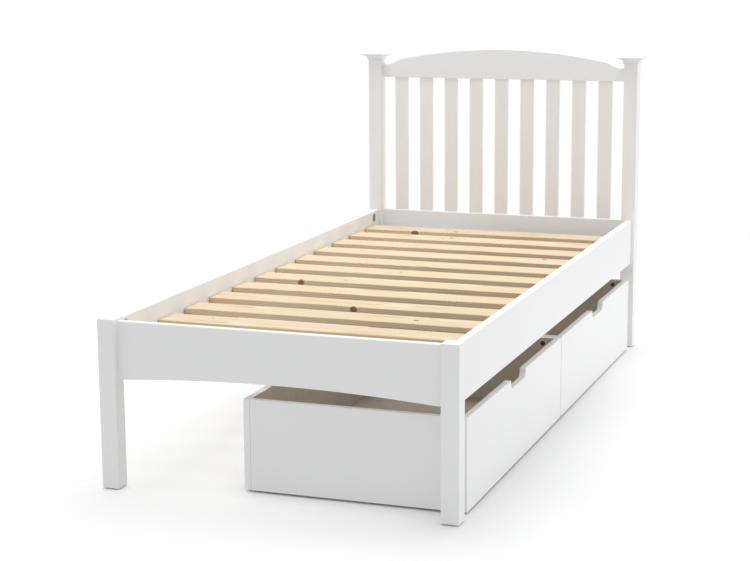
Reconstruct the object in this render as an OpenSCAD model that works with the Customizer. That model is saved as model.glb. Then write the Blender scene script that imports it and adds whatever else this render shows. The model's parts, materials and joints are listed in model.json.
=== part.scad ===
// Single bed frame in painted wood, with an arched headboard and two roll-out drawers.
// Millimetres. +Z is up, +X is the drawer side, +Y runs from the foot end to the head end.
// The origin is on the floor, under the middle of the frame's overall box.

/* [Mattress space] */
// Width of the mattress that lies in the frame
mattress_w = 900; // [750:10:1080]
// Length of the mattress that lies in the frame
mattress_l = 2000; // [1660:10:2400]
// Play left for the mattress, in all: between the side rails, and between the posts
mattress_play = 12; // [4:1:30]
// Depth of the well that the mattress sinks into
well_depth = 50; // [30:1:70]

/* [Posts and legs] */
// Side of the square posts and legs
post = 48; // [40:1:60]
// Rise of the foot legs above the rails
foot_leg_rise = 6; // [0:1:60]
// Rise of the head posts above the top rail's ends, under their caps
head_post_rise = 18; // [8:1:60]
// Rounding of the long edges of posts and legs
post_edge_r = 2.5; // [1:0.5:5]
// Thickness of the plastic glide under each leg
glide_t = 3; // [2:0.5:6]
// Diameter of the glide
glide_d = 24; // [18:1:32]

/* [Post caps] */
// Height and projection of the fillet under the cove
cap_fillet = 3; // [1:0.5:4]
// Radius of the cove under the slab
cove_r = 13; // [8:1:18]
// How far the slab stands out past the cove
cap_land = 3; // [0.5:0.5:5]
// Thickness of the slab
cap_slab_t = 7.5; // [6:0.5:14]

/* [Rails] */
// Thickness of all rails
rail_t = 22; // [18:1:26]
// Height of the side rails and the headboard's lower rail
rail_h = 154; // [130:1:185]
// Height of the rails' upper edge above the floor
rail_top = 450; // [430:1:500]
// Setback of the side rails from the posts' outer faces
side_setback = 12; // [8:1:15]
// Setback of the head and foot rails from the posts' faces
end_setback = 20; // [16:1:22]
// Extra depth of the foot rail at its ends
foot_rail_drop = 3; // [0:0.5:10]
// Rise of the arch in the foot rail's lower edge
foot_arch = 19; // [8:1:30]
// Rounding of the rails' long edges
rail_edge_r = 5; // [2:0.5:8]
// Wood left in a post between a mortise and the studs
tenon_wall = 2; // [1:0.5:4]
// Thickness of the rails' tenons
tenon_t = 10; // [8:1:12]
// Shoulder above and below a tenon
tenon_shoulder = 12; // [6:1:15]

/* [Headboard] */
// Visible height of the headboard slats
back_slat_h = 480; // [400:1:576]
// Height of the top rail where it meets the posts
top_rail_end_h = 44; // [38:1:50]
// Radius of the crown of the top rail
crown_r = 1868; // [1560:1:2240]
// Radius of both curves of the ogee at each end
ogee_r = 80; // [66:1:96]
// Steepest slope of the ogee
ogee_angle = 32; // [28:1:36]
// Level stretch between the ogee and the post
ogee_flat = 7; // [2:1:20]
// Number of headboard slats
back_slats = 9; // [9:1:9]
// Width of a headboard slat
back_slat_w = 48; // [40:1:60]
// Thickness of a headboard slat
back_slat_t = 14; // [10:1:17]
// Depth that a headboard slat enters its rails
back_slat_in = 12; // [8:1:18]

/* [Slatted base] */
// Number of base slats
base_slats = 12; // [12:1:12]
// Width of a base slat
slat_w = 92; // [76:1:111]
// Thickness of a base slat
slat_t = 17; // [14:1:21]
// Play at each end of a base slat
slat_play = 2; // [1:0.5:4]
// Width of the ledger strips under the slats
ledger_w = 25; // [20:1:30]
// Height of the ledger strips
ledger_h = 38; // [32:1:45]
// Gap between a ledger's end and the posts
ledger_gap = 12; // [5:1:20]

/* [Fasteners] */
// Diameter of the studs that hold the side rails
stud_d = 8; // [6:1:10]
// Depth that a stud enters its post
stud_in = 30; // [20:1:34]
// Distance of the studs from the rail's upper and lower edges
stud_edge = 26; // [24:1:32]
// Distance from the rail's end to the middle of the nut pocket
pocket_at = 45; // [40:1:54]
// Diameter of the nut pocket
pocket_d = 34; // [30:1:40]
// Width of the stud nuts across flats
nut_af = 13; // [11:1:15]
// Thickness of the stud nuts
nut_t = 6.5; // [5:0.5:8]
// Shank diameter of the base screws
screw_d = 4; // [3:0.5:5]
// Length of the base screws
screw_l = 35; // [32:1:42]

/* [Drawers] */
// Depth of a drawer, from its back to its front
drawer_depth = 605; // [505:1:720]
// Thickness of the drawer boards
board = 18; // [15:1:21]
// Gap between the drawers' top edges and the rails
drawer_headroom = 46; // [30:1:70]
// Gap between the drawers' boards and the floor
drawer_clear = 6; // [4:0.5:9]
// Gap between a drawer and the leg beside it
drawer_end_gap = 45; // [30:1:80]
// Gap between the two drawers
drawer_seam = 5; // [3:0.5:10]
// How far the closed fronts stand out from the side rail
drawer_proud = 4; // [0:0.5:10]
// Rounding of the fronts' corners
front_corner_r = 5; // [2:0.5:10]
// Width of the finger notch
notch_w = 150; // [120:1:180]
// Depth of the finger notch
notch_h = 25; // [20:1:32]
// Radius of the notch's lower corners
notch_r = 18; // [12:1:20]
// Thickness of the drawer's base panel
base_t = 6; // [4:0.5:8]
// Depth of the groove for the base panel
groove = 6; // [4:0.5:8]
// Diameter of the cam discs in the drawer's sides
cam_d = 15; // [12:1:18]
// Distance from a board's end to the middle of a cam disc
cam_at = 34; // [24:1:40]
// Distance from a board's upper edge to the upper cam discs
cam_drop = 18; // [14:1:24]

/* [Castors] */
// Diameter of the castor wheels
wheel_d = 32; // [27:1:36]
// Width of the castor wheels
wheel_w = 14; // [11:1:17]
// Diameter of the castor axles
axle_d = 5; // [4:0.5:6]
// Distance from the drawer's front and back boards to the axles
castor_at = 55; // [46:1:80]
// Length of a castor bracket
bracket_l = 60; // [52:1:72]
// Thickness of a castor bracket's walls
bracket_t = 3; // [2.5:0.5:4]

/* [Hidden] */

$fn = 48;

// Finishes
paint = "#f1f1ee";
pine = "#d9b98a";
hardboard = "#9a7b5c";
steel = "#b9bcc0";
black_plastic = "#2c2c2e";
grey_plastic = "#8a8c90";

// Clearances and small fixed sizes
cut = 1;              // how far a cutter runs past the face that it opens
fit = 0.2;            // play round a tenon or a slat in its mortise
end_play = 1;         // room left at the bottom of a mortise
pin_fit = 0.1;        // play round a pin, stud or screw in its hole
run_fit = 0.1;        // play of an axle in its wheel
large_fn = 240;       // facets of the long curves
arc_lap = 0.01;       // how far tangent arcs run into each other
screw_head_d = 8;     // countersunk head of the base screws
screw_head_h = 2;     // depth of that head
screw_cross = [4.4, 1, 1.4]; // length, width and depth of the cross in that head
stud_bore_play = 0.5; // play of a stud in the side rail
washer_play = 0.3;    // play of a crescent washer in its pocket
washer_web = 7;       // thickness of a crescent washer at its middle
stud_tip = 3;         // length of stud past its nut
glide_pin_d = 5;      // nail of a leg glide
glide_pin_l = 15;
cap_edge_r = 2;       // rounding of the cap's slab
cam_back = 3.4;       // thickness of a cam disc behind its bolt's axis
cam_bolt_d = 7;       // bolt that a cam disc pulls on
cam_bolt_tip_d = 5.8; // its threaded tip in the front or back board
cam_bolt_tip_l = 10;
cam_low_z = 80;       // height of the lower cam discs above the floor
cam_cross = [9, 1.6, 1.4];   // length, width and depth of a cam disc's cross
wheel_side_play = 0.5;       // play between a wheel and its bracket's cheeks
wheel_top_play = 4;          // play between a wheel and its bracket's plate
wheel_hub_d = 12;
wheel_rim_t = 4;
wheel_web_t = 5;
wheel_edge_r = 1.5;
bracket_flange = 8;          // how far a bracket's plate reaches past its cheek
bracket_boss_r = 7;          // rounded end of a cheek round the axle
bracket_foot = 0.75;         // width of a cheek at its root, as a share of the bracket
peg_d = 6;                   // pegs that hold a bracket in the drawer side
peg_l = 10;
peg_at = 23;                 // distance of the pegs from the axle
peg_land = 1;                // land round a peg on the bracket's flange
slat_edge_r = 3;

// Plan of the frame
cap_over = cap_fillet + cove_r + cap_land;
inner_w = mattress_w + mattress_play;
inner_l = mattress_l + mattress_play;
bed_w = inner_w + 2 * (rail_t + side_setback);
bed_l = inner_l + 2 * post;
foot_y = -(bed_l + cap_over) / 2;
head_y = foot_y + bed_l - post;
mid_y = foot_y + bed_l / 2;
span_x = bed_w - 2 * post;
span_y = bed_l - 2 * post;
post_x = (bed_w - post) / 2;
side_rail_x = bed_w / 2 - side_setback - rail_t / 2;
tenon_l = side_rail_x - stud_d / 2 - tenon_wall - end_play - span_x / 2;
foot_rail_y = foot_y + end_setback + rail_t / 2;
head_rail_y = head_y + end_setback + rail_t / 2;

// Heights
rail_bottom = rail_top - rail_h;
foot_rail_bottom = rail_bottom - foot_rail_drop;
foot_leg_h = rail_top + foot_leg_rise;
top_rail_z = rail_top + back_slat_h;
slat_top = rail_top - well_depth;
slat_bottom = slat_top - slat_t;
foot_tenon_rise = tenon_shoulder + foot_arch;
top_rail_end_z = top_rail_z + top_rail_end_h;
head_post_h = top_rail_end_z + head_post_rise;
cap_h = cap_fillet + cove_r + cap_slab_t;

// The ogee and the crown are tangent arcs: their common slope follows from the clear width
ogee_x = span_x / 2 - ogee_flat;
crown_sin = (ogee_x - 2 * ogee_r * sin(ogee_angle)) / (crown_r - ogee_r);
crown_cos = sqrt(1 - crown_sin * crown_sin);
shoulder_x = ogee_x - 2 * ogee_r * sin(ogee_angle);
shoulder_z = top_rail_end_z + ogee_r - 2 * ogee_r * cos(ogee_angle);
turn_z = top_rail_end_z + ogee_r * (1 - cos(ogee_angle));
crown_x = crown_r * crown_sin;
crown_z = shoulder_z - (crown_r - ogee_r) * crown_cos;

// Slat positions
back_slat_gap = (span_x - back_slats * back_slat_w) / (back_slats + 1);
slat_start_y = foot_y + end_setback + rail_t;
slat_end_y = head_y + end_setback;
slat_gap = (slat_end_y - slat_start_y - base_slats * slat_w) / (base_slats + 1);
slat_screw_x = inner_w / 2 - ledger_w / 2;
ledger_screw_z = slat_bottom - ledger_h / 2;

// Studs and their pockets
stud_z = [rail_bottom + stud_edge, rail_top - stud_edge];
nut_r = nut_af / 2 / cos(30);
pocket_depth = rail_t / 2 + nut_r + washer_play;
washer_y = pocket_at - pocket_d / 2 + washer_play + washer_web;
stud_out = washer_y + nut_t + stud_tip;

// Drawers
drawer_top = rail_bottom - drawer_headroom;
drawer_h = drawer_top - drawer_clear;
drawer_l = (span_y - 2 * drawer_end_gap - drawer_seam) / 2;
drawer_y = [mid_y - (drawer_l + drawer_seam) / 2, mid_y + (drawer_l + drawer_seam) / 2];
front_x = bed_w / 2 - side_setback + drawer_proud;
back_x = front_x - drawer_depth;
inside_front_x = front_x - board;
inside_back_x = back_x + board;
axle_z = wheel_d / 2;
bracket_gap = wheel_w + 2 * wheel_side_play;
bracket_w = bracket_gap + 2 * bracket_t;
bracket_top = wheel_d + wheel_top_play + bracket_t;
base_z = bracket_top;
peg_z = bracket_top - bracket_t - peg_land - peg_d / 2;
front_axle_x = inside_front_x - castor_at;
rear_axle_x = inside_back_x + castor_at;
inside_y = drawer_l / 2 - board;
cam_z = [cam_low_z, drawer_top - cam_drop];
cam_t = board / 2 + cam_back;

// Y of the middle of base slat i, counted from 0 at the foot end
function slat_y(i) = slat_start_y + slat_gap * (i + 1) + slat_w * (i + 0.5);

// X of the middle of headboard slat i, counted from 0 at the left
function back_slat_x(i) = -span_x / 2 + back_slat_gap * (i + 1) + back_slat_w * (i + 0.5);

// A rectangle about the origin with true arcs at its corners
module rounded_rect(w, h, r) {
    square([w - 2 * r, h], center = true);
    square([w, h - 2 * r], center = true);
    for (sx = [-1, 1], sy = [-1, 1])
        translate([sx * (w / 2 - r), sy * (h / 2 - r)]) circle(r);
}

// A cylinder that runs from the origin along +X, or along +Y
module rod_x(l, d) {
    rotate([0, 90, 0]) cylinder(h = l, d = d);
}
module rod_y(l, d) {
    rotate([-90, 0, 0]) cylinder(h = l, d = d);
}

// Stands a drawing of width and height upright, facing -Y, and gives it a thickness
module upright(t) {
    translate([0, t / 2, 0]) rotate([90, 0, 0]) linear_extrude(t) children();
}

// Puts the children, made for the foot end of the right side rail, at all four corners
module at_corners() {
    for (side = [0, 1], end = [0, 1])
        translate([0, mid_y, 0]) mirror([side, 0, 0]) mirror([0, end, 0]) translate([0, -mid_y, 0])
            children();
}

// ---------------------------------------------------------------- posts and legs

module post_blank(h) {
    translate([0, 0, glide_t]) linear_extrude(h - glide_t) rounded_rect(post, post, post_edge_r);
}

// Mortise in a right-hand post for a rail whose tenon lies between heights z0 and z1
module tenon_mortise(rail_y, z0, z1) {
    translate([span_x / 2 - cut, rail_y - tenon_t / 2 - fit, z0 - fit])
        cube([tenon_l + end_play + cut, tenon_t + 2 * fit, z1 - z0 + 2 * fit]);
}

// Holes in the right foot leg for the two studs of the side rail
module leg_stud_holes() {
    for (z = stud_z)
        translate([side_rail_x, foot_y + post - stud_in - end_play, z])
            rod_y(stud_in + end_play + cut, stud_d + 2 * pin_fit);
}

module glide_pin_hole() {
    translate([0, 0, glide_t - cut])
        cylinder(h = glide_pin_l + end_play + cut, d = glide_pin_d + 2 * pin_fit);
}

module right_foot_leg() {
    color(paint) difference() {
        translate([post_x, foot_y + post / 2, 0]) post_blank(foot_leg_h);
        tenon_mortise(foot_rail_y, foot_rail_bottom + foot_tenon_rise, rail_top - tenon_shoulder);
        leg_stud_holes();
        translate([post_x, foot_y + post / 2, 0]) glide_pin_hole();
    }
}

module right_head_post() {
    color(paint) difference() {
        translate([post_x, head_y + post / 2, 0]) post_blank(head_post_h);
        tenon_mortise(head_rail_y, rail_bottom + tenon_shoulder, rail_top - tenon_shoulder);
        tenon_mortise(head_rail_y, top_rail_z + tenon_shoulder, top_rail_end_z - tenon_shoulder);
        translate([0, 2 * mid_y, 0]) mirror([0, 1, 0]) leg_stud_holes();
        translate([post_x, head_y + post / 2, 0]) glide_pin_hole();
    }
}

module foot_leg_right() { right_foot_leg(); }
module foot_leg_left() { mirror([1, 0, 0]) right_foot_leg(); }
module head_post_right() { right_head_post(); }
module head_post_left() { mirror([1, 0, 0]) right_head_post(); }

// Side view of a cap: a fillet, a cove and a slab with a rounded edge
module cap_profile() {
    root_x = post / 2 + cap_fillet;
    slab_w = post + 2 * cap_over;
    translate([-root_x, 0]) square([2 * root_x, cap_fillet]);
    difference() {
        translate([-root_x - cove_r, cap_fillet]) square([2 * (root_x + cove_r), cove_r]);
        for (side = [-1, 1])
            translate([side * (root_x + cove_r), cap_fillet]) circle(cove_r);
    }
    translate([0, cap_fillet + cove_r + cap_slab_t / 2]) rounded_rect(slab_w, cap_slab_t, cap_edge_r);
}

// The profile run round all four sides of the post, mitred at its corners
module post_cap(x) {
    color(paint) translate([x, head_y + post / 2, head_post_h]) intersection() {
        upright(post + 2 * cap_over) cap_profile();
        rotate([0, 0, 90]) upright(post + 2 * cap_over) cap_profile();
    }
}

module post_cap_left() { post_cap(-post_x); }
module post_cap_right() { post_cap(post_x); }

// ---------------------------------------------------------------- headboard and foot rail

// Tenons at both ends of a rail across the bed
module rail_tenons(z0, z1) {
    for (side = [0, 1]) mirror([side, 0, 0])
        translate([span_x / 2 - cut, -tenon_t / 2, z0]) cube([tenon_l + cut, tenon_t, z1 - z0]);
}

// Mortises for the headboard slats, from height z up
module back_slat_mortises(z, depth) {
    for (i = [0 : back_slats - 1])
        translate([back_slat_x(i) - back_slat_w / 2 - fit, -back_slat_t / 2 - fit, z])
            cube([back_slat_w + 2 * fit, back_slat_t + 2 * fit, depth]);
}

// Front view of the top rail between the posts. At each end the crown runs into the two curves
// of an ogee, the upper one convex and the lower one hollow, and the ogee into a level end.
module top_rail_outline() {
    strip_h = crown_z + crown_r - top_rail_z;
    ogee_w = ogee_x - shoulder_x;
    translate([-span_x / 2, top_rail_z]) square([span_x, top_rail_end_h + arc_lap]);
    intersection() {
        translate([0, crown_z]) circle(crown_r, $fn = large_fn);
        translate([-crown_x, top_rail_z]) square([2 * crown_x, strip_h]);
    }
    for (side = [0, 1]) mirror([side, 0]) difference() {
        union() {
            intersection() {
                translate([shoulder_x, shoulder_z]) circle(ogee_r + arc_lap, $fn = large_fn);
                translate([shoulder_x, top_rail_z]) square([ogee_w, strip_h]);
            }
            translate([shoulder_x, top_rail_z]) square([ogee_w, turn_z - top_rail_z]);
        }
        translate([ogee_x, top_rail_end_z + ogee_r]) circle(ogee_r, $fn = large_fn);
    }
}

module headboard_top_rail() {
    color(paint) translate([0, head_rail_y, 0]) difference() {
        union() {
            upright(rail_t) top_rail_outline();
            rail_tenons(top_rail_z + tenon_shoulder, top_rail_end_z - tenon_shoulder);
        }
        back_slat_mortises(top_rail_z - cut, back_slat_in + end_play + cut);
    }
}

// A board along X between the posts, with rounded long edges
module cross_board(z0, z1) {
    translate([-span_x / 2, 0, (z0 + z1) / 2]) rotate([90, 0, 90])
        linear_extrude(span_x) rounded_rect(rail_t, z1 - z0, rail_edge_r);
}

module headboard_bottom_rail() {
    color(paint) translate([0, head_rail_y, 0]) difference() {
        union() {
            cross_board(rail_bottom, rail_top);
            rail_tenons(rail_bottom + tenon_shoulder, rail_top - tenon_shoulder);
        }
        back_slat_mortises(rail_top - back_slat_in - end_play, back_slat_in + end_play + cut);
    }
}

module headboard_slat(i) {
    z0 = rail_top - back_slat_in;
    color(paint) translate([back_slat_x(i), head_rail_y, z0])
        linear_extrude(top_rail_z + back_slat_in - z0)
            rounded_rect(back_slat_w, back_slat_t, slat_edge_r);
}

// Front view of the foot rail: a board whose lower edge is a shallow arch
module foot_rail_outline() {
    half = span_x / 2;
    arch_r = (half * half + foot_arch * foot_arch) / (2 * foot_arch);
    difference() {
        translate([-half, foot_rail_bottom]) square([2 * half, rail_top - foot_rail_bottom]);
        translate([0, foot_rail_bottom + foot_arch - arch_r]) circle(arch_r, $fn = 2 * large_fn);
    }
}

module foot_rail() {
    color(paint) translate([0, foot_rail_y, 0]) {
        intersection() {
            cross_board(foot_rail_bottom, rail_top);
            upright(rail_t) foot_rail_outline();
        }
        rail_tenons(foot_rail_bottom + foot_tenon_rise, rail_top - tenon_shoulder);
    }
}

// ---------------------------------------------------------------- side rails and base

module right_side_rail() {
    color(paint) difference() {
        translate([side_rail_x, foot_y + post, (rail_bottom + rail_top) / 2])
            rotate([-90, 0, 0]) linear_extrude(span_y) rounded_rect(rail_t, rail_h, rail_edge_r);
        for (end = [0, 1]) translate([0, mid_y, 0]) mirror([0, end, 0]) translate([0, -mid_y, 0])
            side_rail_end_cuts();
        at_ledger_screws() screw(pin_fit);
    }
}

// Stud bores and nut pockets at the foot end of the right side rail
module side_rail_end_cuts() {
    for (z = stud_z) {
        translate([side_rail_x, foot_y + post - cut, z])
            rod_y(stud_out + cut + end_play, stud_d + 2 * stud_bore_play);
        translate([side_rail_x - rail_t / 2 - cut, foot_y + post + pocket_at, z])
            rod_x(pocket_depth + cut, pocket_d);
    }
}

module side_rail_right() { right_side_rail(); }
module side_rail_left() { mirror([1, 0, 0]) right_side_rail(); }

// A countersunk screw along -Z, its head's top face at the origin
module screw(play) {
    translate([0, 0, -screw_head_h])
        cylinder(h = screw_head_h, d1 = screw_d + 2 * play, d2 = screw_head_d + 2 * play);
    translate([0, 0, -screw_l - play]) cylinder(h = screw_l + play, d = screw_d + 2 * play);
}

// A screw with a cross recess in its head
module cross_screw() {
    difference() {
        screw(0);
        for (turn = [0, 90]) rotate([0, 0, turn])
            translate([-screw_cross[0] / 2, -screw_cross[1] / 2, -screw_cross[2]])
                cube([screw_cross[0], screw_cross[1], screw_cross[2] + cut]);
    }
}

// Puts the children where screws hold the right ledger to its side rail
module at_ledger_screws() {
    for (i = [0 : 2 : base_slats - 2])
        translate([inner_w / 2 - ledger_w, slat_y(i) + (slat_w + slat_gap) / 2, ledger_screw_z])
            rotate([0, -90, 0]) children();
}

// Puts the children where screws hold the right ends of the base slats
module at_slat_screws() {
    for (i = [0 : base_slats - 1])
        translate([slat_screw_x, slat_y(i), slat_top]) children();
}

module right_ledger() {
    ledger_y = foot_y + post + ledger_gap;
    color(pine) difference() {
        translate([inner_w / 2 - ledger_w, ledger_y, slat_bottom - ledger_h])
            cube([ledger_w, span_y - 2 * ledger_gap, ledger_h]);
        at_ledger_screws() screw(pin_fit);
        at_slat_screws() screw(pin_fit);
    }
}

module slat_ledger_right() { right_ledger(); }
module slat_ledger_left() { mirror([1, 0, 0]) right_ledger(); }

module base_slat(i) {
    color(pine) difference() {
        translate([-inner_w / 2 + slat_play, slat_y(i), (slat_bottom + slat_top) / 2])
            rotate([90, 0, 90]) linear_extrude(inner_w - 2 * slat_play)
                rounded_rect(slat_w, slat_t, slat_edge_r);
        for (side = [0, 1]) mirror([side, 0, 0])
            translate([slat_screw_x, slat_y(i), slat_top]) screw(pin_fit);
    }
}

module base_screws() {
    color(steel) for (side = [0, 1]) mirror([side, 0, 0]) {
        at_ledger_screws() cross_screw();
        at_slat_screws() cross_screw();
    }
}

// ---------------------------------------------------------------- bed fittings

module rail_studs() {
    color(steel) at_corners() for (z = stud_z)
        translate([side_rail_x, foot_y + post - stud_in, z]) rod_y(stud_in + stud_out, stud_d);
}

// Half-moon washers: their round side lies against the wall of the pocket
module stud_washers() {
    r = pocket_d / 2 - washer_play;
    color(steel) at_corners() for (z = stud_z)
        translate([side_rail_x - rail_t / 2, foot_y + post + pocket_at, z]) difference() {
            rod_x(pocket_depth - washer_play, 2 * r);
            translate([-cut, washer_y - pocket_at, -r - cut])
                cube([pocket_depth + 2 * cut, 2 * r, 2 * (r + cut)]);
            translate([rail_t / 2, -r - cut, 0]) rod_y(r, stud_d + 2 * pin_fit);
        }
}

module stud_nuts() {
    color(steel) at_corners() for (z = stud_z)
        translate([side_rail_x, foot_y + post + washer_y, z]) difference() {
            rotate([-90, 0, 0]) cylinder(h = nut_t, r = nut_r, $fn = 6);
            translate([0, -cut, 0]) rod_y(nut_t + 2 * cut, stud_d + 2 * pin_fit);
        }
}

module leg_glide() {
    cylinder(h = glide_t, d1 = glide_d - glide_t, d2 = glide_d);
    cylinder(h = glide_t + glide_pin_l, d = glide_pin_d);
}

module leg_glides() {
    color(black_plastic) for (side = [-1, 1], y = [foot_y, head_y])
        translate([side * post_x, y + post / 2, 0]) leg_glide();
}

// ---------------------------------------------------------------- drawers

// The finger notch, drawn downwards from the middle of the front's upper edge
module notch_outline() {
    translate([-notch_w / 2, -(notch_h - notch_r)]) square([notch_w, notch_h - notch_r + cut]);
    translate([-notch_w / 2 + notch_r, -notch_h]) square([notch_w - 2 * notch_r, notch_h]);
    for (side = [-1, 1])
        translate([side * (notch_w / 2 - notch_r), -(notch_h - notch_r)]) circle(notch_r);
}

// Outline of the drawer's long boards
module long_board_outline() {
    translate([0, drawer_clear + drawer_h / 2]) rounded_rect(drawer_l, drawer_h, front_corner_r);
}

// Groove for the base panel in a long board: it opens towards -X, over the board's whole length
module base_groove(l) {
    translate([-cut, -l / 2, base_z - pin_fit]) cube([groove + cut, l, base_t + 2 * pin_fit]);
}

// Holes for the cam bolts' tips in a long board, from its inner face at X = 0
module cam_tip_holes() {
    for (side = [-1, 1], z = cam_z)
        translate([-cut, side * (drawer_l / 2 - board / 2), z])
            rod_x(cam_bolt_tip_l + end_play + cut, cam_bolt_tip_d + 2 * pin_fit);
}

module drawer_front(n) {
    groove_l = drawer_l - 2 * board + 2 * groove;
    color(paint) translate([inside_front_x, drawer_y[n], 0]) difference() {
        rotate([90, 0, 90]) linear_extrude(board) difference() {
            long_board_outline();
            translate([0, drawer_top]) notch_outline();
        }
        base_groove(groove_l);
        cam_tip_holes();
    }
}

module drawer_back(n) {
    groove_l = drawer_l - 2 * board + 2 * groove;
    color(paint) translate([inside_back_x, drawer_y[n], 0]) mirror([1, 0, 0]) difference() {
        rotate([90, 0, 90]) linear_extrude(board) long_board_outline();
        base_groove(groove_l);
        cam_tip_holes();
    }
}

// The board at the drawer's head end, about the drawer's middle in Y
module drawer_side(n) {
    side_l = inside_front_x - inside_back_x;
    color(paint) translate([0, drawer_y[n], 0]) difference() {
        translate([inside_back_x, inside_y, drawer_clear]) cube([side_l, board, drawer_h]);
        translate([inside_back_x - cut, inside_y - cut, base_z - pin_fit])
            cube([side_l + 2 * cut, groove + cut, base_t + 2 * pin_fit]);
        for (z = cam_z) {
            translate([inside_front_x - cam_at, inside_y - cut, z])
                rod_y(cam_t + cut + pin_fit, cam_d + 2 * pin_fit);
            translate([inside_back_x + cam_at, inside_y - cut, z])
                rod_y(cam_t + cut + pin_fit, cam_d + 2 * pin_fit);
            translate([inside_front_x - cam_at, inside_y + board / 2, z])
                rod_x(cam_at + cut, cam_bolt_d + 2 * pin_fit);
            translate([inside_back_x - cut, inside_y + board / 2, z])
                rod_x(cam_at + cut, cam_bolt_d + 2 * pin_fit);
        }
        for (x = [front_axle_x, rear_axle_x], side = [-1, 1])
            translate([x + side * peg_at, inside_y - cut, peg_z])
                rod_y(peg_l + cut + end_play, peg_d + 2 * pin_fit);
    }
}

// Mirrors the children about a drawer's middle, so that a head-side piece serves the foot side
module other_side(n) {
    translate([0, drawer_y[n], 0]) mirror([0, 1, 0]) translate([0, -drawer_y[n], 0]) children();
}

module drawer_base(n) {
    reach = groove - fit;
    color(hardboard) translate([inside_back_x - reach, drawer_y[n] - inside_y - reach, base_z])
        cube([inside_front_x - inside_back_x + 2 * reach, 2 * (inside_y + reach), base_t]);
}

// A cam disc in the inner face of a drawer side, its bolt coming from +X
module cam_disc() {
    difference() {
        rod_y(cam_t, cam_d);
        translate([-cam_bolt_d / 2, board / 2, 0]) rod_x(cam_d, cam_bolt_d + 2 * pin_fit);
        translate([-cam_bolt_d / 2, board / 2, 0]) sphere(d = cam_bolt_d + 2 * pin_fit);
        for (turn = [0, 90]) rotate([0, turn, 0])
            translate([-cam_cross[0] / 2, -cut, -cam_cross[1] / 2])
                cube([cam_cross[0], cam_cross[2] + cut, cam_cross[1]]);
    }
}

// Its bolt, from the cam disc's middle to its tip in the front board
module cam_bolt() {
    translate([0, board / 2, 0]) {
        rod_x(cam_at, cam_bolt_d);
        rod_x(cam_at + cam_bolt_tip_l, cam_bolt_tip_d);
    }
}

// The fittings of the head-side board
module side_cam_fittings(n) {
    for (z = cam_z) {
        translate([inside_front_x - cam_at, drawer_y[n] + inside_y, z]) {
            cam_disc();
            cam_bolt();
        }
        translate([inside_back_x + cam_at, drawer_y[n] + inside_y, z]) mirror([1, 0, 0]) {
            cam_disc();
            cam_bolt();
        }
    }
}

module drawer_cam_fittings(n) {
    color(steel) {
        side_cam_fittings(n);
        other_side(n) side_cam_fittings(n);
    }
}

// ---------------------------------------------------------------- castors

// Side view of a bracket's cheek: it narrows from the plate to a round boss at the axle
module cheek_outline() {
    root = bracket_l * bracket_foot / 2;
    circle(bracket_boss_r);
    polygon([[-root, bracket_top - axle_z], [root, bracket_top - axle_z],
             [bracket_boss_r, 0], [-bracket_boss_r, 0]]);
}

// A castor bracket at the head side, its axle at the origin's X: two cheeks under a plate,
// and a flange with two pegs against the drawer side
module castor_bracket() {
    difference() {
        union() {
            translate([-bracket_l / 2, -bracket_w - bracket_flange, bracket_top - bracket_t])
                cube([bracket_l, bracket_w + bracket_flange, bracket_t]);
            for (y = [-bracket_t / 2, -bracket_w + bracket_t / 2])
                translate([0, y, axle_z]) upright(bracket_t) cheek_outline();
            translate([-bracket_l / 2, -bracket_t, peg_z - peg_d / 2 - peg_land])
                cube([bracket_l, bracket_t, bracket_top - peg_z + peg_d / 2 + peg_land]);
            for (side = [-1, 1])
                translate([side * peg_at, -bracket_t, peg_z]) rod_y(bracket_t + peg_l, peg_d);
        }
        translate([0, -bracket_w - cut, axle_z]) rod_y(bracket_w + 2 * cut, axle_d + pin_fit);
    }
}

module at_castors(n) {
    for (x = [front_axle_x, rear_axle_x]) {
        translate([x, drawer_y[n] + inside_y, 0]) children();
        other_side(n) translate([x, drawer_y[n] + inside_y, 0]) children();
    }
}

module drawer_castor_brackets(n) {
    color(grey_plastic) at_castors(n) castor_bracket();
}

module drawer_castor_axles(n) {
    color(steel) at_castors(n) translate([0, -bracket_w, axle_z]) rod_y(bracket_w, axle_d);
}

// Half section of a wheel, from its bore outwards: hub, thin web and rim with rounded edges
module wheel_section() {
    bore_r = axle_d / 2 + run_fit;
    rim_r = wheel_d / 2;
    translate([bore_r, -wheel_w / 2]) square([wheel_hub_d / 2 - bore_r, wheel_w]);
    translate([bore_r, -wheel_web_t / 2]) square([rim_r - wheel_rim_t / 2 - bore_r, wheel_web_t]);
    translate([rim_r - wheel_rim_t / 2, 0]) rounded_rect(wheel_rim_t, wheel_w, wheel_edge_r);
}

// The two wheels on one axle line of a drawer
module wheel_pair(n, x) {
    wheel_y = inside_y - bracket_w / 2;
    color(black_plastic) for (side = [-1, 1])
        translate([x, drawer_y[n] + side * wheel_y, axle_z]) rotate([90, 0, 0])
            rotate_extrude() wheel_section();
}

module drawer_front_wheels(n) { wheel_pair(n, front_axle_x); }
module drawer_rear_wheels(n) { wheel_pair(n, rear_axle_x); }

// ---------------------------------------------------------------- nodes

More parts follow.
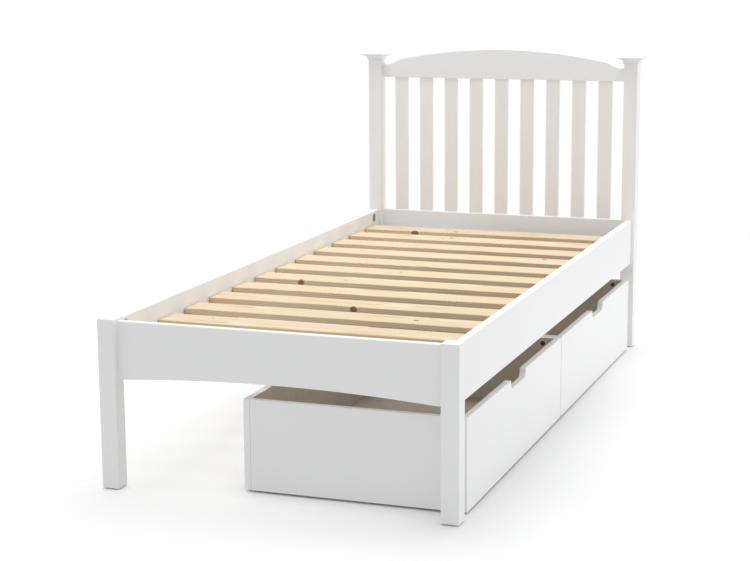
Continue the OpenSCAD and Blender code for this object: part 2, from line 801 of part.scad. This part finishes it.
head_post_left();
head_post_right();
post_cap_left();
post_cap_right();
headboard_top_rail();
headboard_bottom_rail();
headboard_slat(0);  // headboard_slat_1
headboard_slat(1);  // headboard_slat_2
headboard_slat(2);  // headboard_slat_3
headboard_slat(3);  // headboard_slat_4
headboard_slat(4);  // headboard_slat_5
headboard_slat(5);  // headboard_slat_6
headboard_slat(6);  // headboard_slat_7
headboard_slat(7);  // headboard_slat_8
headboard_slat(8);  // headboard_slat_9
foot_leg_left();
foot_leg_right();
foot_rail();
side_rail_left();
side_rail_right();
slat_ledger_left();
slat_ledger_right();
base_slat(0);  // base_slat_1
base_slat(1);  // base_slat_2
base_slat(2);  // base_slat_3
base_slat(3);  // base_slat_4
base_slat(4);  // base_slat_5
base_slat(5);  // base_slat_6
base_slat(6);  // base_slat_7
base_slat(7);  // base_slat_8
base_slat(8);  // base_slat_9
base_slat(9);  // base_slat_10
base_slat(10);  // base_slat_11
base_slat(11);  // base_slat_12
rail_studs();
stud_washers();
stud_nuts();
base_screws();
leg_glides();
drawer_front(0);  // drawer_1_front
drawer_back(0);  // drawer_1_back
other_side(0) drawer_side(0);  // drawer_1_foot_side
drawer_side(0);  // drawer_1_head_side
drawer_base(0);  // drawer_1_base
drawer_cam_fittings(0);  // drawer_1_cam_fittings
drawer_castor_brackets(0);  // drawer_1_castor_brackets
drawer_castor_axles(0);  // drawer_1_castor_axles
drawer_front_wheels(0);  // drawer_1_front_wheels
drawer_rear_wheels(0);  // drawer_1_rear_wheels
drawer_front(1);  // drawer_2_front
drawer_back(1);  // drawer_2_back
other_side(1) drawer_side(1);  // drawer_2_foot_side
drawer_side(1);  // drawer_2_head_side
drawer_base(1);  // drawer_2_base
drawer_cam_fittings(1);  // drawer_2_cam_fittings
drawer_castor_brackets(1);  // drawer_2_castor_brackets
drawer_castor_axles(1);  // drawer_2_castor_axles
drawer_front_wheels(1);  // drawer_2_front_wheels
drawer_rear_wheels(1);  // drawer_2_rear_wheels
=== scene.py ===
"""Looks of a single bed frame: satin white paint, bare pine slats, fittings and drawer castors.

Metres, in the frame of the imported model: +Z up, +X the drawer side, +Y from foot to head.
"""
import json
import math
import random

import bmesh
import bpy
from mathutils import Euler, Matrix, Vector


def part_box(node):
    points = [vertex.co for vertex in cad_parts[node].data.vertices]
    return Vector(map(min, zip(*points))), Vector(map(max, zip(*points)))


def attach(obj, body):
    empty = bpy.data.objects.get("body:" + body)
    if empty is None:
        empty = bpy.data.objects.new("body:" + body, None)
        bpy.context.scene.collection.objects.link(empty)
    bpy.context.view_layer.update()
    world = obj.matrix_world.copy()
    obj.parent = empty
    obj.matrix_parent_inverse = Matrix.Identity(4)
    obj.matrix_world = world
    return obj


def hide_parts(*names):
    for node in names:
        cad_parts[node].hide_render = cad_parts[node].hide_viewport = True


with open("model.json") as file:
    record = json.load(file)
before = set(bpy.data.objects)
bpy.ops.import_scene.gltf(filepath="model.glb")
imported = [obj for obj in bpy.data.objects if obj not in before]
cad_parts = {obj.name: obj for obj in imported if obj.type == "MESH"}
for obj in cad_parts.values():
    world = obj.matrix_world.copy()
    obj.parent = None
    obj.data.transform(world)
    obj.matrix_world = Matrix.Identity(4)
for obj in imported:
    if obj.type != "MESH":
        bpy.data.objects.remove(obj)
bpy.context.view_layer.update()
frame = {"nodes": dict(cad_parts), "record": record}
nodes = frame["nodes"]

MM = 0.001
random.seed(7)


# ---------------------------------------------------------------- camera and light

FILM_WIDTH = 36        # mm
FOCAL_LENGTH = 84.87   # mm
CAMERA_TURN = 19.93    # degrees, to the left of straight ahead
CAMERA_DOWN = 10.81    # degrees
CAMERA_ROLL = -0.41    # degrees
CAMERA_RIGHT = 1.710   # metres, from the bed's middle line
CAMERA_BACK = 3.955    # metres, from the front of the foot legs
CAMERA_HEIGHT = 1.405  # metres


def make_camera():
    """The standing photographer's view, from the foot end and the drawer side."""
    leg_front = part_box("foot_leg_left")[0].y
    data = bpy.data.cameras.new("camera")
    data.sensor_width = FILM_WIDTH
    data.lens = FOCAL_LENGTH
    camera = bpy.data.objects.new("camera", data)
    bpy.context.scene.collection.objects.link(camera)
    tilt = math.radians(90 - CAMERA_DOWN)
    aim = Euler((tilt, 0, math.radians(CAMERA_TURN))).to_matrix().to_4x4()
    roll = Matrix.Rotation(math.radians(CAMERA_ROLL), 4, "Z")
    place = Matrix.Translation((CAMERA_RIGHT, leg_front - CAMERA_BACK, CAMERA_HEIGHT))
    camera.matrix_world = place @ aim @ roll
    bpy.context.scene.camera = camera


def area_light(name, at, target, size, power):
    """A square softbox that stands at one point and faces another."""
    data = bpy.data.lights.new(name, "AREA")
    data.shape = "SQUARE"
    data.size = size
    data.energy = power
    light = bpy.data.objects.new(name, data)
    bpy.context.scene.collection.objects.link(light)
    light.location = at
    light.rotation_euler = (Vector(target) - Vector(at)).to_track_quat("-Z", "Y").to_euler()


def make_world(shown, light):
    """A white studio: its walls look plain white, and light the bed more softly than they look."""
    world = bpy.data.worlds.new("studio")
    world.use_nodes = True
    tree = world.node_tree
    tree.nodes.clear()
    path = tree.nodes.new("ShaderNodeLightPath")
    wall = tree.nodes.new("ShaderNodeBackground")
    wall.inputs["Color"].default_value = (1, 1, 1, 1)
    wall.inputs["Strength"].default_value = shown
    glow = tree.nodes.new("ShaderNodeBackground")
    glow.inputs["Color"].default_value = (0.985, 0.99, 1.0, 1)
    glow.inputs["Strength"].default_value = light
    mix = tree.nodes.new("ShaderNodeMixShader")
    out = tree.nodes.new("ShaderNodeOutputWorld")
    tree.links.new(path.outputs["Is Camera Ray"], mix.inputs[0])
    tree.links.new(glow.outputs[0], mix.inputs[1])
    tree.links.new(wall.outputs[0], mix.inputs[2])
    tree.links.new(mix.outputs[0], out.inputs["Surface"])
    bpy.context.scene.world = world


# ---------------------------------------------------------------- materials

class Look:
    """A material in the making: plain values on its Principled shader, and nodes for what varies."""

    def __init__(self, name, color, values):
        self.material = bpy.data.materials.new(name)
        self.material.use_nodes = True
        self.material.diffuse_color = (*color, 1)
        self.tree = self.material.node_tree
        self.shader = self.tree.nodes["Principled BSDF"]
        self.shader.inputs["Base Color"].default_value = (*color, 1)
        for socket, value in values.items():
            self.shader.inputs[socket].default_value = value
        self.coordinates = self.add("TexCoord").outputs["Object"]

    def add(self, kind, inputs=None, **settings):
        """A new node, with its settings and with its inputs set or linked."""
        node = self.tree.nodes.new("ShaderNode" + kind)
        for key, value in settings.items():
            setattr(node, key, value)
        for key, value in (inputs or {}).items():
            self.feed(node.inputs[key], value)
        return node

    def feed(self, socket, value):
        """Links a socket to another node's output, or sets it to a plain value."""
        if isinstance(value, bpy.types.NodeSocket):
            self.tree.links.new(value, socket)
        else:
            socket.default_value = value

    def set(self, socket, value):
        """Links or sets a socket of the Principled shader."""
        self.feed(self.shader.inputs[socket], value)

    def place(self, scale=(1, 1, 1), shift=(0, 0, 0)):
        """Object coordinates in metres, shifted and then scaled."""
        moved = self.add("VectorMath", {0: self.coordinates, 1: shift}, operation="SUBTRACT")
        scaled = self.add("VectorMath", {0: moved.outputs[0], 1: scale}, operation="MULTIPLY")
        return scaled.outputs[0]

    def noise(self, scale, detail=2.0, roughness=0.5, shift=(0, 0, 0)):
        """Noise about 0.5, with so many blobs to the metre: one number, or one for each axis."""
        if not isinstance(scale, tuple):
            scale = (scale, scale, scale)
        spot = self.place(scale, shift)
        inputs = {"Vector": spot, "Scale": 1.0, "Detail": detail, "Roughness": roughness}
        return self.add("TexNoise", inputs).outputs[0]

    def calc(self, operation, first, second=0.0, third=0.0):
        """One step of arithmetic."""
        return self.add("Math", {0: first, 1: second, 2: third}, operation=operation).outputs[0]

    def length(self, vector):
        return self.add("VectorMath", {0: vector}, operation="LENGTH").outputs["Value"]

    def past(self, axis, place, side):
        """1 for what lies past a place on an axis, on the side of +1 or -1, and 0 for the rest."""
        parts = self.add("SeparateXYZ", {0: self.coordinates}).outputs
        return self.calc("GREATER_THAN" if side > 0 else "LESS_THAN", parts[axis], place)

    def span(self, value, from_low, from_high, to_low, to_high):
        """The value's span carried over smoothly to another span, and held at its ends."""
        inputs = {0: value, 1: from_low, 2: from_high, 3: to_low, 4: to_high}
        return self.add("MapRange", inputs, interpolation_type="SMOOTHSTEP").outputs[0]

    def ramp(self, value, stops):
        """A colour for each value, between stops of (position, colour)."""
        node = self.add("ValToRGB", {0: value})
        elements = node.color_ramp.elements
        while len(elements) < len(stops):
            elements.new(1.0)
        for element, (position, color) in zip(elements, stops):
            element.position = position
            element.color = (*color, 1)
        return node.outputs[0]

    def mix(self, factor, first, second, blend="MIX"):
        """Two colours, each a tuple or another node's output, mixed by a factor."""
        node = self.add("Mix", data_type="RGBA", blend_type=blend)
        self.feed(node.inputs[0], factor)
        for socket, color in ((node.inputs[6], first), (node.inputs[7], second)):
            self.feed(socket, (*color, 1) if isinstance(color, tuple) else color)
        return node.outputs[2]

    def bump(self, *heights):
        """Relief from (height from 0 to 1, depth in metres) pairs."""
        normal = None
        for height, depth in heights:
            inputs = {"Height": height, "Distance": depth, "Strength": 1.0}
            if normal:
                inputs["Normal"] = normal
            normal = self.add("Bump", inputs).outputs[0]
        self.set("Normal", normal)


def along(axis, lengthwise, across):
    """Scale of a texture that runs along one axis."""
    return tuple(lengthwise if i == axis else across for i in range(3))


PAINT = (0.868, 0.868, 0.862)
PAINT_SHADE = (0.85, 0.85, 0.846)
FIBREBOARD = [(0.35, (0.56, 0.505, 0.435)), (0.5, (0.61, 0.555, 0.485)), (0.65, (0.66, 0.605, 0.54))]


def white_paint(name, grain, raw=None):
    """Satin paint, sprayed over sanded wood: a fine orange peel, and faint brushing along the board.

    raw is (axis, place, side) of a face that is left as bare fibreboard: what lies past that place on
    the axis, on the side of +1 or -1.
    """
    look = Look(name, (0.86, 0.86, 0.855), {"IOR": 1.46})
    cloud = look.noise(2.6, 3.0)
    brushing = look.noise(along(grain, 7, 620), 3.0, 0.6)
    peel = look.noise(520, 1.0)
    sweep = look.noise(14, 1.0)
    color = look.mix(cloud, PAINT, PAINT_SHADE)
    roughness = look.span(look.calc("ADD", cloud, brushing), 0.6, 1.4, 0.34, 0.46)
    reliefs = [(sweep, 0.05 * MM), (brushing, 0.012 * MM), (peel, 0.01 * MM)]
    if raw:
        bare = look.past(*raw)
        fibres = look.noise(900, 4.0, 0.7)
        clumps = look.noise(60, 3.0)
        felt = look.calc("MULTIPLY_ADD", clumps, 0.4, look.calc("MULTIPLY", fibres, 0.6))
        color = look.mix(bare, color, look.ramp(felt, FIBREBOARD))
        roughness = look.calc("MULTIPLY_ADD", bare, 0.35, roughness)
        reliefs.append((look.calc("MULTIPLY", bare, fibres), 0.04 * MM))
    look.set("Base Color", color)
    look.set("Roughness", roughness)
    look.bump(*reliefs)
    return look.material


RING = 0.0034
PINE_PALE = (0.80, 0.69, 0.52)
PINE_MID = (0.76, 0.63, 0.44)
PINE_DARK = (0.60, 0.42, 0.25)
PINE_WARM = (0.98, 0.96, 0.92)
KNOT_DARK = (0.20, 0.10, 0.05)
KNOT_RED = (0.40, 0.20, 0.10)


def pine(name, grain, heart, knots):
    """Planed bare pine.

    The growth rings run round the heart, a line along the board, and bend round the knots. heart is a
    point on that line, and knots are (place, radius) pairs, all in metres.
    """
    look = Look(name, (0.7, 0.5, 0.3), {"Specular IOR Level": 0.35})
    drift = look.noise(along(grain, 1.3, 5), 2.0, shift=heart)
    wobble = look.noise(along(grain, 9, 40), 2.0, shift=heart)
    radius = look.length(look.place(along(grain, 0, 1), heart))
    radius = look.calc("MULTIPLY_ADD", drift, 30 * MM, radius)
    radius = look.calc("MULTIPLY_ADD", wobble, 2 * MM, radius)
    knot = 0.0
    for place, size in knots:
        distance = look.length(look.place(along(grain, 0.8, 1), place))
        swell = look.span(distance, size * 0.4, size * 4, size * 1.2, 0.0)
        radius = look.calc("ADD", radius, swell)
        knot = look.calc("MAXIMUM", knot, look.span(distance, size * 0.75, size, 1.0, 0.0))
    ring = look.calc("FRACT", look.calc("MULTIPLY", radius, 1 / RING))
    fibre = look.noise(along(grain, 25, 1900), 3.0, 0.65)
    fleck = look.noise(along(grain, 110, 900), 1.0)
    wood = look.ramp(ring, [(0.0, PINE_PALE), (0.5, PINE_MID), (0.88, PINE_DARK), (1.0, PINE_PALE)])
    wood = look.mix(look.span(fibre, 0.35, 0.75, 0.0, 0.35), wood, PINE_DARK)
    wood = look.mix(look.noise(1.1, 2.0), wood, PINE_WARM, "MULTIPLY")
    wood = look.mix(knot, wood, look.ramp(fleck, [(0.3, KNOT_DARK), (0.75, KNOT_RED)]))
    look.set("Base Color", wood)
    look.set("Roughness", look.span(ring, 0.5, 0.95, 0.62, 0.48))
    look.bump((ring, 0.03 * MM), (fibre, 0.04 * MM))
    return look.material


def hardboard():
    """Pale brown hardboard: pressed fibres under a smooth, slightly glossy face."""
    dark, middle, pale = (0.39, 0.35, 0.30), (0.44, 0.40, 0.35), (0.49, 0.45, 0.40)
    look = Look("hardboard_brown", middle, {"Specular IOR Level": 0.45})
    fibres = look.noise(330, 4.0, 0.7)
    clumps = look.noise(38, 3.0)
    felt = look.calc("MULTIPLY_ADD", clumps, 0.35, look.calc("MULTIPLY", fibres, 0.65))
    look.set("Base Color", look.ramp(felt, [(0.35, dark), (0.5, middle), (0.68, pale)]))
    look.set("Roughness", look.span(fibres, 0.3, 0.7, 0.42, 0.6))
    look.bump((clumps, 0.05 * MM), (fibres, 0.02 * MM))
    return look.material


def zinc_plated(name, dull, bright):
    """Zinc plating, a little clouded."""
    look = Look(name, bright, {"Metallic": 1.0})
    cloud = look.noise(160, 3.0)
    grains = look.noise(2500, 1.0)
    look.set("Base Color", look.ramp(cloud, [(0.3, dull), (0.7, bright)]))
    look.set("Roughness", look.span(cloud, 0.3, 0.7, 0.24, 0.4))
    look.bump((grains, 0.003 * MM))
    return look.material


def moulded(name, color, roughness):
    """Matt moulded plastic with a fine spark-eroded grain and paler scuffs."""
    look = Look(name, color, {"IOR": 1.5})
    grain = look.noise(1800, 2.0)
    scuff = look.noise(60, 3.0)
    pale = tuple(min(1.0, channel * 1.25 + 0.01) for channel in color)
    look.set("Base Color", look.mix(look.span(scuff, 0.45, 0.8, 0.0, 1.0), color, pale))
    look.set("Roughness", look.span(scuff, 0.3, 0.7, roughness - 0.06, roughness + 0.08))
    look.bump((grain, 0.012 * MM))
    return look.material


def make_floor():
    """A matt white floor that fades into the white of the studio away from the bed.

    It takes on more of the studio's white round the left leg, which is painted light over the shadow
    that the softbox throws there, and less beside the drawers, where its own white is also a shade
    darker: a painted shadow. Close under things, where hardly any light gets in, it takes on none,
    which paints shade into the floor there.
    """
    half = 8.0
    # shade is the floor's white darkened beside the drawers: a painted shadow.
    white, shade = (0.93, 0.93, 0.93), (0.8, 0.8, 0.8)
    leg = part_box("foot_leg_left")[1]
    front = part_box("drawer_1_front")[1]
    beside_leg = (leg.x + 0.04, leg.y + 0.165, 0)
    beside_drawers = (front.x + 0.17, front.y - 0.24, 0)
    look = Look("studio_floor", white, {"Roughness": 0.55, "Specular IOR Level": 0.2})
    from_bed = look.length(look.place())
    from_leg = look.length(look.place(shift=beside_leg))
    from_drawers = look.length(look.place((1, 0.4, 1), beside_drawers))
    nearby = look.add("AmbientOcclusion", {"Distance": 0.2}, samples=8)
    # Painted shadow: beside the drawers the floor's own white is darker, and further down it takes on
    # less of the studio's white.
    look.set("Base Color", look.mix(look.span(from_drawers, 0.15, 0.5, 0.0, 1.0), shade, white))
    fade_and_painted_light = look.span(from_bed, 1.2, 4.5, 0.35, 1.0)
    # Painted light: round the left leg the floor takes on more of the studio's white, which lifts the
    # softbox's shadow there.
    fade_and_painted_light = look.calc("ADD", fade_and_painted_light, look.span(from_leg, 0.3, 0.8, 0.32, 0.0))
    fade_and_painted_light = look.calc("SUBTRACT", fade_and_painted_light, look.span(from_drawers, 0.15, 0.5, 0.3, 0.0))
    # Painted shade: near things, going by ambient occlusion, the floor takes on less of the studio's
    # white, so its contact shadows come out darker.
    fade_and_painted_light = look.calc("MULTIPLY", fade_and_painted_light, look.span(nearby.outputs["AO"], 0.25, 0.9, 0.0, 1.0))
    clear = look.add("BsdfTransparent")
    mix = look.add("MixShader", {0: fade_and_painted_light, 1: look.shader.outputs[0], 2: clear.outputs[0]})
    look.tree.links.new(mix.outputs[0], look.tree.nodes["Material Output"].inputs["Surface"])
    mesh = bpy.data.meshes.new("studio_floor")
    corners = [(-half, -half, 0), (half, -half, 0), (half, half, 0), (-half, half, 0)]
    mesh.from_pydata(corners, [], [(0, 1, 2, 3)])
    mesh.materials.append(look.material)
    floor = bpy.data.objects.new("studio_floor", mesh)
    bpy.context.scene.collection.objects.link(floor)


# ---------------------------------------------------------------- rounded edges

WELDED = 0.01 * MM     # corners closer than this are one
FLAT_FOLD = 0.2        # degrees: faces that fold by less are one face
SHARP_FOLD = 50        # degrees: edges that fold by more are sharp


def edge_tree(name):
    """A new group of geometry nodes, with its start, its end, and a node that says how edges fold."""
    tree = bpy.data.node_groups.new(name, "GeometryNodeTree")
    tree.interface.new_socket("Geometry", in_out="INPUT", socket_type="NodeSocketGeometry")
    tree.interface.new_socket("Geometry", in_out="OUTPUT", socket_type="NodeSocketGeometry")
    kinds = ("NodeGroupInput", "NodeGroupOutput", "GeometryNodeInputMeshEdgeAngle")
    return tree, *(tree.nodes.new(kind) for kind in kinds)


def edge_test(tree, value, threshold):
    """1 on the edges where a value is over a threshold."""
    test = tree.nodes.new("ShaderNodeMath")
    test.operation = "GREATER_THAN"
    tree.links.new(value, test.inputs[0])
    test.inputs[1].default_value = threshold
    return test.outputs[0]


def mark_edges(shortest, fold):
    """Marks for bevelling each edge over a length where two faces fold past an angle."""
    tree, start, end, angle = edge_tree("mark_edges")
    ends = tree.nodes.new("GeometryNodeInputMeshEdgeVertices")
    length = tree.nodes.new("ShaderNodeVectorMath")
    length.operation = "DISTANCE"
    tree.links.new(ends.outputs["Position 1"], length.inputs[0])
    tree.links.new(ends.outputs["Position 2"], length.inputs[1])
    is_long = edge_test(tree, length.outputs["Value"], shortest)
    is_sharp = edge_test(tree, angle.outputs["Unsigned Angle"], math.radians(fold))
    both = tree.nodes.new("ShaderNodeMath")
    both.operation = "MULTIPLY"
    tree.links.new(is_long, both.inputs[0])
    tree.links.new(is_sharp, both.inputs[1])
    store = tree.nodes.new("GeometryNodeStoreNamedAttribute")
    store.data_type = "FLOAT"
    store.domain = "EDGE"
    store.inputs["Name"].default_value = "bevel_weight_edge"
    tree.links.new(both.outputs[0], store.inputs["Value"])
    tree.links.new(start.outputs[0], store.inputs["Geometry"])
    tree.links.new(store.outputs[0], end.inputs[0])
    return tree


def crisp_edges():
    """Shades the mesh smooth, apart from the edges that still fold by more than a bevel's steps do."""
    tree, start, end, angle = edge_tree("crisp_edges")
    normals = tree.nodes.new("GeometryNodeSetMeshNormal")
    normals.inputs["Face Sharpness"].default_value = False
    is_sharp = edge_test(tree, angle.outputs["Unsigned Angle"], math.radians(SHARP_FOLD))
    tree.links.new(is_sharp, normals.inputs["Edge Sharpness"])
    tree.links.new(start.outputs[0], normals.inputs["Mesh"])
    tree.links.new(normals.outputs[0], end.inputs[0])
    return tree


shading = crisp_edges()


def dress(name, material, edge, shortest=0.1 * MM, fold=SHARP_FOLD):
    """Gives a CAD node its material, and rounds its sharp edges as sanding or moulding does.

    Only edges longer than shortest are rounded, so that bores and pockets near an edge stay whole.
    With no shortest length, all are, as far as there is room.
    """
    node = nodes[name]
    node.data.materials.clear()
    node.data.materials.append(material)
    weld = node.modifiers.new("weld", "WELD")
    weld.merge_threshold = WELDED
    if shortest:
        flat = node.modifiers.new("flat_faces", "DECIMATE")
        flat.decimate_type = "DISSOLVE"
        flat.angle_limit = math.radians(FLAT_FOLD)
        marks = node.modifiers.new("mark_edges", "NODES")
        marks.node_group = mark_edges(shortest, fold)
    bevel = node.modifiers.new("edges", "BEVEL")
    bevel.width = edge
    bevel.segments = 2
    bevel.limit_method = "WEIGHT" if shortest else "ANGLE"
    bevel.angle_limit = math.radians(fold)
    bevel.use_clamp_overlap = not shortest
    shade = node.modifiers.new("crisp_edges", "NODES")
    shade.node_group = shading
    even = node.modifiers.new("flat_shading", "WEIGHTED_NORMAL")
    even.keep_sharp = True


# ---------------------------------------------------------------- what each node is made of

HEART_ASIDE = 0.07             # the most that a log's heart lies beside its board
HEART_BELOW = (0.03, 0.09)     # and the least and most that it lies below
KNOT_RADIUS = (0.006, 0.013)
KNOT_TO_END = 0.06
BARE_FACE = 0.3 * MM           # depth to which a bare face's material reaches
INNER_FACE = {"front": (0, -1), "back": (0, 1), "foot_side": (1, 1), "head_side": (1, -1)}


def grain_axis(name):
    """The axis along which a node is longest: the way its board was cut."""
    low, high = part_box(name)
    size = high - low
    return max(range(3), key=lambda axis: size[axis])


def board_pine(name):
    """Pine for one board, cut from its own place in the log and with its own knots."""
    axis = grain_axis(name)
    low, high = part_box(name)
    middle = (low + high) / 2
    side = 1 - axis
    heart = middle.copy()
    heart[side] += random.uniform(-HEART_ASIDE, HEART_ASIDE)
    heart.z -= random.uniform(*HEART_BELOW)
    knots = []
    for _ in range(random.choice((2, 3))):
        place = middle.copy()
        place[axis] = random.uniform(low[axis] + KNOT_TO_END, high[axis] - KNOT_TO_END)
        place[side] = random.uniform(low[side], high[side])
        knots.append((tuple(place), random.uniform(*KNOT_RADIUS)))
    return pine("pine_" + name, axis, tuple(heart), knots)


def drawer_paint(name):
    """White paint for a drawer board, whose inner face is bare."""
    low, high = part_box(name)
    axis, side = INNER_FACE[name.split("_", 2)[2]]
    place = high[axis] - BARE_FACE if side > 0 else low[axis] + BARE_FACE
    return white_paint("paint_" + name, grain_axis(name), (axis, place, side))


paints = [white_paint("white_paint_" + letter, axis) for axis, letter in enumerate("xyz")]
brown = hardboard()
zinc = zinc_plated("zinc_steel", (0.56, 0.57, 0.6), (0.70, 0.70, 0.68))
# The cam fittings' zinc is given dark colours: painted shade and dark reflections from the shadowed
# drawer corners around them.
zinc_in_painted_shade = zinc_plated("zinc_in_painted_shade", (0.10, 0.10, 0.105), (0.16, 0.155, 0.15))
black = moulded("black_plastic", (0.03, 0.03, 0.032), 0.5)
grey = moulded("grey_plastic", (0.30, 0.31, 0.32), 0.45)

for part in frame["record"]["subparts"]:
    name, kind = part["node"], part["material_slot"]
    if name.endswith(("foot_side", "head_side")):
        dress(name, drawer_paint(name), edge=1.2 * MM, shortest=15 * MM)
    elif name.startswith("drawer") and kind == "white_paint":
        dress(name, drawer_paint(name), edge=1.2 * MM)
    elif name.startswith("post_cap"):
        dress(name, paints[grain_axis(name)], edge=0.4 * MM)
    elif name.startswith("side_rail"):
        dress(name, paints[grain_axis(name)], edge=1.0 * MM, shortest=15 * MM)
    elif name == "headboard_bottom_rail":
        dress(name, paints[grain_axis(name)], edge=1.0 * MM, shortest=50 * MM)
    elif name == "foot_rail":
        dress(name, paints[grain_axis(name)], edge=0.5 * MM, shortest=4 * MM, fold=75)
    elif kind == "white_paint":
        dress(name, paints[grain_axis(name)], edge=1.0 * MM)
    elif name.startswith("slat_ledger"):
        dress(name, board_pine(name), edge=1.0 * MM, shortest=15 * MM)
    elif kind == "pine":
        dress(name, board_pine(name), edge=0.8 * MM)
    elif kind == "hardboard":
        dress(name, brown, edge=0.4 * MM)
    elif name.endswith("cam_fittings"):
        dress(name, zinc_in_painted_shade, edge=0.2 * MM, shortest=None)
    elif name == "base_screws":
        dress(name, zinc, edge=0.15 * MM)
    elif name == "stud_washers":
        dress(name, zinc, edge=0.3 * MM, shortest=5 * MM)
    elif kind == "steel":
        dress(name, zinc, edge=0.3 * MM)
    elif kind == "black_plastic":
        dress(name, black, edge=0.5 * MM, fold=35)
    else:
        dress(name, grey, edge=0.5 * MM, shortest=2 * MM)


# ---------------------------------------------------------------- threads

THREAD_PITCH = 1.25 * MM
THREAD_DEPTH = 0.7 * MM
THREAD_END = 0.15              # height of the thread at a stud's ends, as a share of its full height
STEPS_AROUND = 24
STEPS_TO_A_PITCH = 6


def islands(name):
    """The lowest and highest x, y and z of each separate solid of a node."""
    mesh = bmesh.new()
    mesh.from_mesh(nodes[name].data)
    bmesh.ops.remove_doubles(mesh, verts=mesh.verts, dist=WELDED)
    seen = set()
    boxes = []
    for start in mesh.verts:
        if start in seen:
            continue
        seen.add(start)
        found = [start]
        for vert in found:
            for edge in vert.link_edges:
                other = edge.other_vert(vert)
                if other not in seen:
                    seen.add(other)
                    found.append(other)
        corners = zip(*(vert.co for vert in found))
        boxes.append([(min(values), max(values)) for values in corners])
    mesh.free()
    return boxes


def thread_ring(mesh, centre, radius, turns, share):
    """One ring of corners round a stud, so many turns along its thread.

    share is the height of the thread there, as a share of its full height.
    """
    ring = []
    for step in range(STEPS_AROUND):
        turn = step / STEPS_AROUND
        height = abs((turns + turn) % 1.0 * 2 - 1) * share
        r = radius - THREAD_DEPTH * (1 - height)
        angle = 2 * math.pi * turn
        out = Vector((r * math.cos(angle), 0, r * math.sin(angle)))
        ring.append(mesh.verts.new(centre + out))
    return ring


def threaded_studs():
    """The bed's studs, cut with a helical thread over their whole length."""
    mesh = bmesh.new()
    for (x0, x1), (y0, y1), (z0, z1) in islands("rail_studs"):
        rings = []
        count = round((y1 - y0) / THREAD_PITCH * STEPS_TO_A_PITCH)
        for row in range(count + 1):
            y = y0 + (y1 - y0) * row / count
            centre = Vector(((x0 + x1) / 2, y, (z0 + z1) / 2))
            share = min(1.0, min(y - y0, y1 - y) / THREAD_PITCH + THREAD_END)
            rings.append(thread_ring(mesh, centre, (x1 - x0) / 2, (y - y0) / THREAD_PITCH, share))
        for low, high in zip(rings, rings[1:]):
            for step in range(STEPS_AROUND):
                after = (step + 1) % STEPS_AROUND
                mesh.faces.new((low[step], high[step], high[after], low[after]))
        mesh.faces.new(rings[0])
        mesh.faces.new(reversed(rings[-1]))
    bmesh.ops.recalc_face_normals(mesh, faces=mesh.faces)
    data = bpy.data.meshes.new("threaded_studs")
    mesh.to_mesh(data)
    mesh.free()
    data.materials.append(zinc)
    studs = bpy.data.objects.new("threaded_studs", data)
    bpy.context.scene.collection.objects.link(studs)
    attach(studs, "frame")
    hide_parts("rail_studs")


threaded_studs()


# ---------------------------------------------------------------- the studio

make_camera()
make_world(shown=1.0, light=0.73)
make_floor()
area_light("overhead_softbox", at=(-0.35, 0.75, 4.4), target=(-0.15, 0.2, 0.3), size=3.0, power=128)
area_light("right_softbox", at=(4.4, 2.4, 1.3), target=(0.3, 0.6, 0.5), size=2.2, power=52)

view = bpy.context.scene.view_settings
view.view_transform = "Standard"
view.look = "None"
